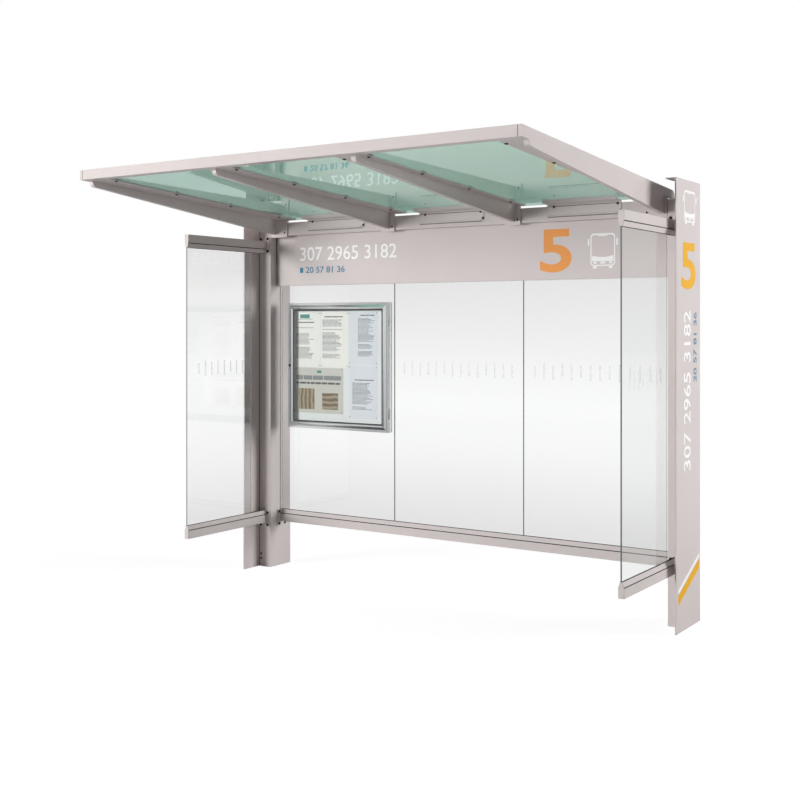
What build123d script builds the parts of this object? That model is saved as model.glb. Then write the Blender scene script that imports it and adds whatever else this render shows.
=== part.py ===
"""Bus shelter: two flat posts, a header beam with a sign panel, a glazed cantilever roof,
a glazed back and two short glazed sides, and a notice case with a hinged door.

Millimetres, +Z up. The open front faces -Y. While the pieces are made, X = 0 is midway
between the posts and Y = 0 is the front face of their tubes; save() then moves everything so
that the origin is the centre of the left post's foot.
"""
from build123d import *
import os

# ---- posts ----
clear_span = 2826.0            # between the inner faces of the two tubes
tube_width = 100.0
tube_depth = 215.0
tube_height = 2346.0
tube_wall = 4.0
tube_edge_radius = 4.0
foot_plate_thickness = 15.0
anchor_hole_radius = 9.0
anchor_spacing_x = 52.0
anchor_spacing_y = 150.0

# ---- blades: the cladding plates on the outer sides of the posts ----
blade_thickness = 8.0
blade_reach = 158.0            # how far a blade stands forward of its tube
blade_rise = 98.0              # top edge above the tubes
blade_return = 60.0            # width of the folded top edge
blade_return_thickness = 6.0

# ---- roof: offsets are measured straight down from the plane of the rim's top edge ----
roof_slope = 0.064             # fall towards the back, as a tangent
roof_side_gap = 17.0           # between a rim and the plane of the tube's inner face
roof_overhang = 1682.0         # forward of the tubes
roof_clearance = 14.0          # from the header's top rear edge up to the rims
rim_thickness = 20.0
rim_tail = 155.0               # how far the rim runs back past the tubes' front faces
rim_tail_radius = 42.0
fascia_height = 54.0
fascia_depth = 45.0
sheet_wall = 3.0
nose_setback = 70.0            # beam nose behind the fascia's front face
nose_depth = 79.0
nose_radius = 24.0
beam_root_depth = 149.0
inner_beam_offset = 449.0      # from the middle of the roof to an inner beam
inner_web = 28.0
edge_web = 8.0                 # inner half of an edge beam, beside the rim
flange_thickness = 6.0
flange_drop = 42.0             # flange top, where the glass lies
wide_flange = 96.0             # on the side of a beam that faces the middle bay
narrow_flange = 44.0
edge_flange = 130.0            # inwards from an edge beam's web
flange_tail = 60.0
end_plate_thickness = 10.0
end_plate_drop = 98.0          # lower edge below the header's top
end_plate_top_gap = 3.0        # upper edge below the flange
end_plate_overhang = 38.0      # beyond an inner beam's web, to each side
edge_plate_reach = 98.0        # inwards from an edge beam's web
edge_plate_tube_gap = 2.0      # between an edge beam's end plate and the plane of the tube's inner face
roof_glass_thickness = 10.0
roof_glass_tail = 96.0         # rear edge, behind the tubes' front faces
roof_glass_gap = 4.0

# ---- header ----
header_front = 12.0            # behind the tubes' front faces
header_depth = 120.0
header_height = 87.0
header_wall = 4.0
sign_front = 62.0
sign_glass_gap = 3.0           # between the panel and the back glass
sign_height = 338.0
sign_end_gap = 4.0

# ---- rear brackets, which carry the back edge of the roof glass ----
bracket_width = 462.0
bracket_pitch = 888.0
bracket_shift = 20.0           # all three lie a little to the right
bracket_sheet = 4.0
bracket_leg_drop = 61.0        # lower edge below the header's top
bracket_shelf_drop = 58.0
bracket_reach = 74.0           # forward of the header

# ---- rails and side panels ----
rail_width = 32.0
rail_height = 82.0
rail_side_height = 54.0        # the rest is the two slopes up to the glass
rail_ridge = 14.0
rail_low = 304.0               # underside of the bottom rails
top_rail_drop = 121.0          # upper face of the top rails below the tubes' tops
side_rail_reach = 760.0        # forward of the tubes
slot_depth = 14.0
slot_clearance = 1.0           # each side of a pane
plate_thickness = 8.0
plate_width = 84.0
plate_height = 108.0
plate_shift = 15.0             # a plate's middle beyond the middle of its rail, away from the glass

# ---- glazing ----
glass_thickness = 8.0
back_plane = 113.0             # middle of the back panes
back_end_gap = 13.0
pane_joint = 4.0
side_glass_back = 150.0        # rear edge of a side pane, forward of the tube

# ---- notice case ----
case_width = 827.0
case_height = 843.0
case_side_gap = 95.0           # from the left tube
case_top_gap = 120.0           # under the sign panel
tray_depth = 26.0
tray_wall = 3.0
board_thickness = 3.0
sheet_thickness = 0.6
door_gap = 1.0
door_depth = 21.0
door_stile = 48.0
door_edge_radius = 9.0
door_glass_thickness = 4.0
door_glass_overlap = 8.0
door_glass_setback = 7.0       # behind the door's front face
paper_width = 229.0
paper_height = 372.0
column_paper_height = 350.0    # the two sheets in the right column
poster_width = 412.0
poster_height = 305.0
poster_inset = 9.0             # from the left column's side
paper_gap = 6.0
paper_side_margin = 37.0       # from the case's left side
paper_top_margin = 59.0        # from the case's top

# ---- case hinges and lock ----
hinge_height = 70.0
hinge_inset = 120.0            # hinge middle from the case's top or bottom edge
knuckle_radius = 5.0
pin_radius = 2.5
pin_clearance = 0.08
knuckle_clearance = 0.4
leaf_thickness = 1.6
leaf_reach = 15.0
hinge_offset = 6.0             # hinge axis beyond the case's side
lock_radius = 9.0
lock_proud = 3.0

# ---- what follows from them ----
half_span = clear_span / 2
post_x = half_span + tube_width / 2
blade_inner_x = half_span + tube_width
half_roof = half_span - roof_side_gap
rim_inner_x = half_roof - rim_thickness
edge_web_x = rim_inner_x - edge_web
web_back = header_front - end_plate_thickness
blade_height = tube_height + blade_rise
fascia_back = -roof_overhang + fascia_depth
flange_low_drop = flange_drop + flange_thickness
header_back = header_front + header_depth
header_top = tube_height
roof_fall = roof_slope * (header_back + roof_overhang)
roof_front_height = header_top + roof_clearance + flange_low_drop + roof_fall
header_low = header_top - header_height
sign_low = header_low - sign_height
bracket_low = header_top - bracket_leg_drop
back_glass_front = back_plane - glass_thickness / 2
back_glass_back = back_plane + glass_thickness / 2
top_rail_high = tube_height - top_rail_drop
top_rail_low = top_rail_high - rail_height
bottom_rail_high = rail_low + rail_height
case_left = -half_span + case_side_gap
case_right = case_left + case_width
case_high = sign_low - case_top_gap
case_low = case_high - case_height
case_centre_x = (case_left + case_right) / 2
case_centre_z = (case_low + case_high) / 2
tray_back = back_glass_front
tray_front = tray_back - tray_depth
door_back = tray_front - door_gap
door_front = door_back - door_depth
hinge_x = case_right + hinge_offset
hinge_y = tray_front - door_gap / 2

ORIGIN = Vector(-post_x, tube_depth / 2, 0)
BAYS = ("left", "centre", "right")


def roof_z(y, drop=0.0):
    """Height of the roof plane at depth y, less a drop."""
    return roof_front_height - roof_slope * (y + roof_overhang) - drop


def roof_slab(y0, y1, high, low):
    """Side view of a flat layer of the roof from y0 to y1, between two drops."""
    return [(y0, roof_z(y0, low)), (y1, roof_z(y1, low)), (y1, roof_z(y1, high)), (y0, roof_z(y0, high))]


def block(x, y, z):
    """Box from three (low, high) pairs."""
    middle = [(pair[0] + pair[1]) / 2 for pair in (x, y, z)]
    return Pos(*middle) * Box(x[1] - x[0], y[1] - y[0], z[1] - z[0])


def across(points, x0, x1):
    """Prism along X from x0 to x1 on an outline of (y, z) points."""
    outline = make_face(Polyline(*points, close=True))
    return extrude(Plane.YZ.offset(x0) * outline, amount=x1 - x0)


def mirrored(shape):
    """The same piece on the other side of the shelter's middle."""
    return mirror(shape, about=Plane.YZ)


def save(shape, name):
    """Write one piece, moved so that the origin is the left post's foot."""
    export_step(Pos(*(-ORIGIN)) * shape, f"parts/{name}.step")


# ---------------------------------------------------------------- posts
def post_tube(x):
    """Square-topped hollow post, closed at the top."""
    outer = block((x - tube_width / 2, x + tube_width / 2), (0, tube_depth), (0, tube_height))
    outer = fillet(outer.edges().filter_by(Axis.Z), tube_edge_radius)
    half = tube_width / 2 - tube_wall
    inner = block((x - half, x + half), (tube_wall, tube_depth - tube_wall), (0, tube_height - tube_wall))
    return outer - inner


def foot_plate(x):
    """Plate welded into a tube's foot, with four anchor holes."""
    half = tube_width / 2 - tube_wall
    plate = block((x - half, x + half), (tube_wall, tube_depth - tube_wall), (0, foot_plate_thickness))
    holes = GridLocations(anchor_spacing_x, anchor_spacing_y, 2, 2)
    drill = Cylinder(anchor_hole_radius, 3 * foot_plate_thickness)
    return plate - Pos(x, tube_depth / 2, 0) * holes * drill


def right_blade():
    """Flat plate beside the right tube, with its top edge folded over inwards."""
    outer_x = blade_inner_x + blade_thickness
    depth = (-blade_reach, tube_depth)
    plate = block((blade_inner_x, outer_x), depth, (0, blade_height))
    low = blade_height - blade_return_thickness
    fold = block((outer_x - blade_return, outer_x), depth, (low, blade_height))
    return plate + fold


# ---------------------------------------------------------------- header
def header_beam():
    """Hollow beam between the two tubes."""
    y = (header_front, header_back)
    outer = block((-half_span, half_span), y, (header_low, header_top))
    inner_y = (y[0] + header_wall, y[1] - header_wall)
    inner = block((-half_span, half_span), inner_y, (header_low + header_wall, header_top - header_wall))
    return outer - inner


def header_sign_panel():
    """Hollow panel under the beam, in front of the back glass."""
    half = half_span - sign_end_gap
    y = (sign_front, back_glass_front - sign_glass_gap)
    z = (sign_low, header_low)
    outer = block((-half, half), y, z)
    inner_y = (y[0] + sheet_wall, y[1] - sheet_wall)
    return outer - block((-half, half), inner_y, (z[0] + sheet_wall, z[1] - sheet_wall))


# ---------------------------------------------------------------- roof
def beam_outline(back):
    """Side view of a beam under the flange: a rounded nose below the fascia, deepening to the root."""
    front = -roof_overhang + nose_setback
    top = [(back, roof_z(back, flange_low_drop)), (fascia_back, roof_z(fascia_back, flange_low_drop))]
    step = [(fascia_back, roof_z(fascia_back, fascia_height)), (front, roof_z(front, fascia_height))]
    foot = [(front, roof_z(front, nose_depth)), (back, roof_z(back, beam_root_depth))]
    return top + step + foot


def rounded(shape, radius, y, z):
    """Round the edge along X that passes nearest to (y, z)."""
    edges = shape.edges().filter_by(Axis.X)
    near = edges.sort_by(lambda edge: (edge.center().Y - y) ** 2 + (edge.center().Z - z) ** 2)
    return fillet(near[0], radius)


def beam_web(x0, x1):
    """The part of a beam below its flange."""
    front = -roof_overhang + nose_setback
    return rounded(across(beam_outline(web_back), x0, x1), nose_radius, front, roof_z(front, nose_depth))


def flange(x0, x1):
    """Flat top of a beam, on which the glass lies."""
    return across(roof_slab(fascia_back, flange_tail, flange_drop, flange_low_drop), x0, x1)


def end_plate(x0, x1):
    """Upright plate that bolts a beam to the header."""
    z = (header_top - end_plate_drop, roof_z(header_front, flange_low_drop) - end_plate_top_gap)
    return block((x0, x1), (web_back, header_front), z)


def right_inner_beam():
    """Beam between the middle and the right bay."""
    x0 = inner_beam_offset - inner_web / 2
    x1 = inner_beam_offset + inner_web / 2
    return (beam_web(x0, x1) + flange(x0 - wide_flange, x1 + narrow_flange)
            + end_plate(x0 - end_plate_overhang, x1 + end_plate_overhang))


def right_edge_beam():
    """Beam along the inside of the right rim."""
    plate = end_plate(edge_web_x - edge_plate_reach, half_span - edge_plate_tube_gap)
    return beam_web(edge_web_x, rim_inner_x) + flange(edge_web_x - edge_flange, rim_inner_x) + plate


def right_rim():
    """Outer side plate of the roof: fascia-high at the front, beam-deep along the side, rounded tail."""
    front, nose = -roof_overhang, -roof_overhang + nose_setback
    outline = [
        (front, roof_z(front)), (rim_tail, roof_z(rim_tail)),
        (rim_tail, roof_z(rim_tail, flange_low_drop)), (web_back, roof_z(web_back, flange_low_drop)),
        (web_back, roof_z(web_back, beam_root_depth)), (nose, roof_z(nose, nose_depth)),
        (nose, roof_z(nose, fascia_height)), (front, roof_z(front, fascia_height)),
    ]
    plate = across(outline, rim_inner_x, half_roof)
    plate = rounded(plate, nose_radius, nose, roof_z(nose, nose_depth))
    return rounded(plate, rim_tail_radius, rim_tail, roof_z(rim_tail))


def roof_fascia():
    """Hollow front edge between the two rims."""
    front, wall = -roof_overhang, sheet_wall
    shell = across(roof_slab(front, fascia_back, 0, fascia_height), -rim_inner_x, rim_inner_x)
    hollow = roof_slab(front + wall, fascia_back - wall, wall, fascia_height - wall)
    return shell - across(hollow, -rim_inner_x, rim_inner_x)


def roof_pane(x0, x1):
    """One sheet of roof glass on the flanges."""
    top = flange_drop - roof_glass_thickness
    return across(roof_slab(fascia_back + roof_glass_gap, roof_glass_tail, top, flange_drop), x0, x1)


def rear_bracket(x):
    """Folded sheet: a leg on the header's face, a shelf forward, and a lip up to the glass."""
    front, back = header_front - bracket_reach, header_front
    sheet = bracket_sheet
    outline = [
        (back, bracket_low), (back, roof_z(back, bracket_shelf_drop)),
        (front + sheet, roof_z(front + sheet, bracket_shelf_drop)),
        (front + sheet, roof_z(front + sheet, flange_drop)), (front, roof_z(front, flange_drop)),
        (front, roof_z(front, bracket_shelf_drop + sheet)),
        (back - sheet, roof_z(back - sheet, bracket_shelf_drop + sheet)), (back - sheet, bracket_low),
    ]
    return across(outline, x - bracket_width / 2, x + bracket_width / 2)


# ---------------------------------------------------------------- rails and glass
def rail_outline():
    """Section of a bottom rail about its middle: upright sides, slopes, and a slot for the glass."""
    side, ridge = rail_width / 2, rail_ridge / 2
    slot = glass_thickness / 2 + slot_clearance
    bed = rail_height - slot_depth
    return [
        (-side, 0), (side, 0), (side, rail_side_height), (ridge, rail_height), (slot, rail_height),
        (slot, bed), (-slot, bed), (-slot, rail_height), (-ridge, rail_height), (-side, rail_side_height),
    ]


def side_rail(x, upside_down):
    """Rail from the tube's plate to the front, along Y."""
    base, turn = (top_rail_high, -1) if upside_down else (rail_low, 1)
    points = [(x + across_rail, base + turn * up) for across_rail, up in rail_outline()]
    outline = make_face(Polyline(*points, close=True))
    return extrude(Plane.XZ.offset(plate_thickness) * outline, amount=side_rail_reach - plate_thickness)


def back_rail():
    """Bottom rail along X, between the plates on the tubes' inner faces."""
    points = [(back_plane + across_rail, rail_low + up) for across_rail, up in rail_outline()]
    end = half_span - plate_thickness
    return across(points, -end, end)


def side_rail_plates(x):
    """The two plates that hold one side's rails on the tube's front face."""
    half = plate_width / 2
    plates = []
    for middle in (rail_low + rail_height / 2 - plate_shift, top_rail_high - rail_height / 2 + plate_shift):
        z = (middle - plate_height / 2, middle + plate_height / 2)
        plates.append(block((x - half, x + half), (-plate_thickness, 0), z))
    return Compound(plates)


def back_rail_plates():
    """The two plates that hold the back rail on the tubes' inner faces."""
    middle = rail_low + rail_height / 2 - plate_shift
    y = (back_plane - plate_width / 2, back_plane + plate_width / 2)
    z = (middle - plate_height / 2, middle + plate_height / 2)
    right = block((half_span - plate_thickness, half_span), y, z)
    return Compound([right, mirrored(right)])


def side_pane(x):
    """Side glass between the two rails."""
    half = glass_thickness / 2
    z = (bottom_rail_high - slot_depth, top_rail_low + slot_depth)
    return block((x - half, x + half), (-side_rail_reach, -side_glass_back), z)


def back_pane(index):
    """One of the back panes, from the bottom rail's slot to the header's underside."""
    start = -half_span + back_end_gap
    joints = (len(BAYS) - 1) * pane_joint
    width = (clear_span - 2 * back_end_gap - joints) / len(BAYS)
    x0 = start + index * (width + pane_joint)
    z = (bottom_rail_high - slot_depth, header_low)
    return block((x0, x0 + width), (back_glass_front, back_glass_back), z)


# ---------------------------------------------------------------- notice case
def case_box(inset, y0, y1):
    """Block the size of the case, less an inset all round."""
    return block((case_left + inset, case_right - inset), (y0, y1), (case_low + inset, case_high - inset))


def case_tray():
    """Shallow tray on the back glass, open to the front."""
    return case_box(0, tray_front, tray_back) - case_box(tray_wall, tray_front, tray_back - tray_wall)


def case_board():
    """White backing board at the bottom of the tray."""
    back = tray_back - tray_wall
    return case_box(tray_wall, back - board_thickness, back)


def case_notices():
    """Five loose sheets: two upright, a poster under them, and a column of two."""
    back = tray_back - tray_wall - board_thickness
    step = paper_width + paper_gap
    left, top = case_left + paper_side_margin, case_high - paper_top_margin
    column_x = left + 2 * step
    sheets = []
    for x0, high, width, height in (
        (left, top, paper_width, paper_height),
        (left + step, top, paper_width, paper_height),
        (left + poster_inset, top - paper_height - paper_gap, poster_width, poster_height),
        (column_x, top, paper_width, column_paper_height),
        (column_x, top - column_paper_height - paper_gap, paper_width, column_paper_height),
    ):
        sheets.append(block((x0, x0 + width), (back - sheet_thickness, back), (high - height, high)))
    return Compound(sheets)


def case_door_frame():
    """Four stiles in one frame with rounded front edges and a rebate for the glass."""
    frame = case_box(0, door_front, door_back)
    front_edges = frame.faces().sort_by(Axis.Y)[0].edges()
    frame = fillet(front_edges, door_edge_radius)
    frame -= case_box(door_stile, door_front, door_back)
    rebate = door_stile - door_glass_overlap
    frame -= case_box(rebate, door_front + door_glass_setback, door_back)
    return frame - lock_barrel(lock_radius)


def case_door_glass():
    """Sheet in the door's rebate."""
    y0 = door_front + door_glass_setback
    return case_box(door_stile - door_glass_overlap, y0, y0 + door_glass_thickness)


def lock_barrel(radius):
    """Round barrel through the free stile."""
    x = case_left + door_stile / 2
    length = door_depth + lock_proud
    return Pos(x, door_back - length / 2, case_centre_z) * Rot(90, 0, 0) * Cylinder(radius, length)


def hinge_middles():
    """Heights of the two hinges' middles."""
    return (case_low + hinge_inset, case_high - hinge_inset)


def on_axis(radius, z):
    """Cylinder on the hinge axis over a range of heights."""
    return Pos(hinge_x, hinge_y, (z[0] + z[1]) / 2) * Cylinder(radius, z[1] - z[0])


def bored_knuckle(z):
    """Barrel with a hole for the pin."""
    return on_axis(knuckle_radius, z) - on_axis(pin_radius + pin_clearance, z)


def hinge_leaf(y_near, y_far, z):
    """Leaf on the case's side, and the web from it to the axis."""
    thickness = leaf_thickness if y_far > y_near else -leaf_thickness
    y = (min(y_near, y_far), max(y_near, y_far))
    leaf = block((case_right, case_right + leaf_thickness), y, z)
    web_y = (min(y_near, y_near + thickness), max(y_near, y_near + thickness))
    return leaf + block((case_right, hinge_x), web_y, z)


def case_hinges():
    """Fixed halves: a leaf on the tray's side, the lower knuckle, and the pin."""
    halves = []
    for middle in hinge_middles():
        low, high = middle - hinge_height / 2, middle + hinge_height / 2
        z = (low, middle - knuckle_clearance)
        leaf = hinge_leaf(hinge_y + knuckle_clearance, hinge_y + leaf_reach, z)
        halves.append(leaf + on_axis(knuckle_radius, z) + on_axis(pin_radius, (low, high)))
    return Compound(halves)


def case_door_knuckles():
    """Moving halves: a leaf on the door's side and the upper knuckle."""
    halves = []
    for middle in hinge_middles():
        z = (middle + knuckle_clearance, middle + hinge_height / 2)
        leaf = hinge_leaf(hinge_y - knuckle_clearance, hinge_y - leaf_reach, z)
        halves.append(leaf - on_axis(pin_radius + pin_clearance, z) + bored_knuckle(z))
    return Compound(halves)


def main():
    """Make every piece and write it."""
    os.makedirs("parts", exist_ok=True)
    pieces = {
        "header_beam": header_beam(),
        "header_sign_panel": header_sign_panel(),
        "roof_fascia": roof_fascia(),
        "back_bottom_rail": back_rail(),
        "back_rail_plates": back_rail_plates(),
        "case_tray": case_tray(),
        "case_board": case_board(),
        "case_notices": case_notices(),
        "case_door_frame": case_door_frame(),
        "case_door_glass": case_door_glass(),
        "case_door_knuckles": case_door_knuckles(),
        "case_hinges": case_hinges(),
        "case_lock": lock_barrel(lock_radius),
    }
    right_made = {
        "blade": right_blade(),
        "roof_rim": right_rim(),
        "roof_edge_beam": right_edge_beam(),
        "roof_inner_beam": right_inner_beam(),
        "roof_glass": roof_pane(inner_beam_offset + roof_glass_gap, rim_inner_x - roof_glass_gap),
    }
    for name, shape in right_made.items():
        pieces[f"{name}_right"] = shape
        pieces[f"{name}_left"] = mirrored(shape)
    for side, x in (("left", -post_x), ("right", post_x)):
        pieces[f"post_tube_{side}"] = post_tube(x)
        pieces[f"foot_plate_{side}"] = foot_plate(x)
        pieces[f"side_top_rail_{side}"] = side_rail(x, True)
        pieces[f"side_bottom_rail_{side}"] = side_rail(x, False)
        pieces[f"side_rail_plates_{side}"] = side_rail_plates(x)
        pieces[f"side_glass_{side}"] = side_pane(x)
    for index, place in enumerate(BAYS):
        pieces[f"back_glass_{place}"] = back_pane(index)
        pieces[f"rear_bracket_{place}"] = rear_bracket((index - 1) * bracket_pitch + bracket_shift)
    middle = inner_beam_offset - roof_glass_gap
    pieces["roof_glass_centre"] = roof_pane(-middle, middle)
    for name, shape in pieces.items():
        save(shape, name)


main()
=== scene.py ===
"""Looks of the bus shelter: finishes for the construction's own pieces, and the trims, fixings,
seals, marks and notices that go on them. It is laid out as a Blender add-on."""
import math

import bmesh
import bpy
import numpy as np
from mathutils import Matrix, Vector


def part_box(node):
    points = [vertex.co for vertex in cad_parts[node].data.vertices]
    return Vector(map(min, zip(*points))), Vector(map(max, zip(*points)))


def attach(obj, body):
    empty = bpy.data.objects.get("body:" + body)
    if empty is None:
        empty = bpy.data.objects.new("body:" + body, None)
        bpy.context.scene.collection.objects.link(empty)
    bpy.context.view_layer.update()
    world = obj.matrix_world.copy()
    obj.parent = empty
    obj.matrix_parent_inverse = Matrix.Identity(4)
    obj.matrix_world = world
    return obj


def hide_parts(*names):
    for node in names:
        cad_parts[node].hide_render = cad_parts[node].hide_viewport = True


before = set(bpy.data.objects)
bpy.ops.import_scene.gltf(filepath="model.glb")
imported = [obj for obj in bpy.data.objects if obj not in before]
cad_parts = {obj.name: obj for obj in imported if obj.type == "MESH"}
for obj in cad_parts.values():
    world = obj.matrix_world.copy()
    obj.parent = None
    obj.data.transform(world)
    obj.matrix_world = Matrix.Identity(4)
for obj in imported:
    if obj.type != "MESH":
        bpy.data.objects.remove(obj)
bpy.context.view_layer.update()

bl_info = {
    "name": "Bus Shelter",
    "version": (1, 0, 0),
    "blender": (4, 5, 0),
    "location": "3D View > Sidebar > Shelter",
    "description": "Finishes and trims for a glazed bus shelter",
    "category": "Object",
}

SIDES = {"left": -1, "right": 1}        # each side's direction along X, away from the middle
BAYS = ("left", "centre", "right")
SHELTER, DOOR = "shelter", "case_door"
LIFT = 0.0001                           # gap between a film and what carries it
SHADE_LINE_PROUD = 0.0006                     # how far a painted shade line stands out
PLATE = 0.008                           # thickness of the blades and rail plates
PANE_HALF = 0.004                       # half the thickness of a side pane
BRACKET_LEG = 0.004                     # thickness of a rear bracket's leg
SEAL_DEPTH, SEAL_DROP = 0.009, 0.005    # a roof seal's depth, and its middle under the glass's upper face
DUST = (0.55, 0.52, 0.48, 1)
RAIL_HALF, RAIL_TOP = 0.016, 0.082      # half the width of a rail, and its cap's height


def corners(name):
    """Lowest and highest corner of a construction piece, as arrays."""
    low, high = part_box(name)
    return np.array(low), np.array(high)


def side_x(name, out):
    """X of a construction piece's face towards the left (-1) or the right (1)."""
    return corners(name)[out > 0][0]


# ---- settings
def colour(label, text, *rgb):
    """A colour setting."""
    return bpy.props.FloatVectorProperty(
        name=label, description=text, default=(*rgb, 1), size=4, min=0, max=1, subtype="COLOR")


def number(label, text, value, **more):
    """A plain setting."""
    return bpy.props.FloatProperty(name=label, description=text, default=value, **more)


def length(label, text, value):
    """A length setting, in metres."""
    return number(label, text, value, min=0, unit="LENGTH")


class ShelterColours(bpy.types.PropertyGroup):
    """Colours of the finishes."""
    paint: colour("Frame paint", "Powder coat of the posts, beams, rails and panels", 0.70, 0.635, 0.625)
    clear_glass: colour("Clear glass", "Tint of the wall panes", 0.975, 0.985, 0.98)
    # painted reflection: the grey that the wall panes take towards their two ends
    glass_ends: colour("Glass ends", "Tint of the wall panes near their two ends", 0.79, 0.79, 0.79)
    glass_edge: colour("Glass edge", "Polished edges of the wall panes", 0.10, 0.12, 0.115)
    roof_glass: colour("Roof glass", "Green laminated roof panes", 0.345, 0.635, 0.52)
    roof_shade: colour("Roof shade", "Lamp light that passes the roof glass", 0.42, 0.46, 0.44)
    aluminium: colour("Case aluminium", "Anodised frame of the notice case", 0.78, 0.80, 0.81)
    board: colour("Case board", "Backing board and lining of the notice case", 0.88, 0.90, 0.90)
    warm_paper: colour("Warm paper", "Two sheets of the notice case", 0.96, 0.94, 0.90)
    cool_paper: colour("Cool paper", "Right column of the notice case", 0.80, 0.83, 0.875)
    poster_paper: colour("Poster paper", "Poster of the notice case", 0.66, 0.645, 0.585)
    teal_ink: colour("Teal ink", "Plain shapes on the notices", 0.07, 0.30, 0.26)
    steel: colour("Steel", "Hinges, discs and foot plates", 0.55, 0.55, 0.54)
    dark_fixing: colour("Dark fixings", "Blackened screw heads", 0.035, 0.034, 0.036)
    # rubber of the gaskets and seals, also the colour of the painted shadow lines and keyway
    rubber: colour("Rubber", "Gaskets and seals", 0.03, 0.03, 0.032)
    silicone: colour("Silicone", "Joints between panes", 0.16, 0.165, 0.165)
    white_film: colour("White film", "White marks", 0.97, 0.97, 0.965)
    orange_film: colour("Orange film", "Numeral on the header", 0.88, 0.36, 0.10)
    yellow_film: colour("Yellow film", "Marks on the blades", 0.88, 0.46, 0.014)
    blue_film: colour("Blue film", "Small marks", 0.055, 0.22, 0.36)
    ink: colour("Ink", "Print on the notices", 0.10, 0.105, 0.11)


class ShelterSizes(bpy.types.PropertyGroup):
    """Sizes of the trims, fixings and seals."""
    plate_height: length("Plate height", "Height of one rail plate", 0.108)
    plate_inset: length("Plate inset", "Screw from a rail plate's edges", 0.0125)
    screw_radius: length("Screw radius", "Head of a rail plate or roof screw", 0.0098)
    small_screw_radius: length("Small screw radius", "Head of a bracket or foot screw", 0.0078)
    foot_screw_inset: length("Foot screw inset", "Foot screw from the post's outer side", 0.017)
    roof_screw_pitch: length("Roof screw pitch", "Between the screws along a beam", 0.480)
    roof_screw_first: length("First roof screw", "From the glass's front edge", 0.085)
    disc_radius: length("Disc radius", "Disc on top of the roof glass", 0.022)
    flange: length("Flange thickness", "Flange under the roof glass", 0.006)
    roof_pane: length("Roof pane thickness", "Thickness of the roof glass", 0.010)
    gasket: length("Gasket radius", "Bead between a rail and its glass", 0.0026)
    cap: length("End cap thickness", "Cap on a rail's front end", 0.003)
    # painted shadow: width of the dark line drawn where a groove's shade falls along a rail's shoulder
    shoulder_shadow_width: length("Groove width", "Dark line along a rail's shoulder", 0.0052)
    rail_shoulder: length("Rail shoulder", "Height of a rail's upright sides", 0.054)
    rail_ridge: length("Rail ridge", "Width of a rail's ridge", 0.014)
    dash_pitch: length("Dash pitch", "Between the dashes on the glass", 0.060)
    dash_width: length("Dash width", "Width of a dash", 0.010)
    dash_height: length("Dash height", "Middling height of a dash", 0.100)
    dash_level: length("Dash level", "Middle of the dashes above the ground", 1.376)
    sheet_bow: length("Sheet bow", "How far a notice bows off the board", 0.0022)
    sheet_width: length("Sheet width", "Upright sheets of the notice case", 0.229)
    sheet_height: length("Sheet height", "The two upper sheets", 0.372)
    column_height: length("Column sheet height", "Each sheet of the right column", 0.350)
    poster_width: length("Poster width", "Poster under the two upper sheets", 0.412)
    poster_height: length("Poster height", "Poster under the two upper sheets", 0.305)
    sheet_gap: length("Sheet gap", "Between the sheets", 0.006)
    sheet_shift: length("Sheet shift", "How far the sheets hang left of their middle place", 0.013)
    flange_width: length("Door flange", "Flat outer border of the door frame", 0.0115)
    crown_rise: length("Crown rise", "Rise of the door frame's ridge over its edges", 0.0095)


class ShelterStage(bpy.types.PropertyGroup):
    """Camera and lamps."""
    eye: bpy.props.FloatVectorProperty(
        name="Eye", description="Camera from the left post's foot", default=(5.224, -6.294, 1.66),
        size=3, unit="LENGTH")
    turn: number("Turn", "Camera's turn to the left", math.radians(33.62), subtype="ANGLE")
    lens: number("Lens", "Focal length in millimetres", 52.84)
    drop: number("Drop", "Vertical shift of the view", -0.095)
    front: number("Front", "Lamp before the left side, in watts", 1790.0)
    rear: number("Rear", "Lamp behind the right side, in watts", 1640.0)
    fill: number("Fill", "Strength of the surroundings", 0.08)
    mirrored: number("Mirrored", "Share of the white surroundings that gloss shows", 0.45)


# ---- shader nodes
def feed(tree, socket, value):
    """Link a socket to another one, or set its constant."""
    if isinstance(value, bpy.types.NodeSocket):
        tree.links.new(value, socket)
    else:
        socket.default_value = value


def node(tree, kind, **settings):
    """A shader node with its settings. A setting in_NAME or in_NUMBER feeds that input."""
    made = tree.nodes.new("ShaderNode" + kind)
    for key, value in settings.items():
        if key.startswith("in_"):
            label = key[3:]
            feed(tree, made.inputs[int(label) if label.isdigit() else label], value)
        else:
            setattr(made, key, value)
    return made


def fill(tree, shader, **values):
    """Feed a shader's inputs by name, with underscores for spaces."""
    for label, value in values.items():
        feed(tree, shader.inputs[label.replace("_", " ")], value)


def worked(tree, operation, *values):
    """Result of a Math node."""
    made = node(tree, "Math", operation=operation)
    for socket, value in zip(made.inputs, values):
        feed(tree, socket, value)
    return made.outputs[0]


def ramp(tree, value, low, high, first=0.0, last=1.0):
    """A value's clamped Map Range from low..high to first..last."""
    return node(tree, "MapRange", in_0=value, in_1=low, in_2=high, in_3=first, in_4=last).outputs[0]


def noise(tree, place, scale, detail):
    """Noise at a place, 0 to 1."""
    return node(tree, "TexNoise", in_0=place, in_2=scale, in_3=detail).outputs[0]


def mixed(tree, factor, a, b):
    """Colour between a and b."""
    return node(tree, "Mix", data_type="RGBA", in_0=factor, in_6=a, in_7=b).outputs[2]


def dotted(tree, a, b):
    """Dot product of two vectors."""
    return node(tree, "VectorMath", operation="DOT_PRODUCT", in_0=a, in_1=b).outputs["Value"]


def object_place(tree):
    """Object coordinates."""
    return node(tree, "TexCoord").outputs["Object"]


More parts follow.
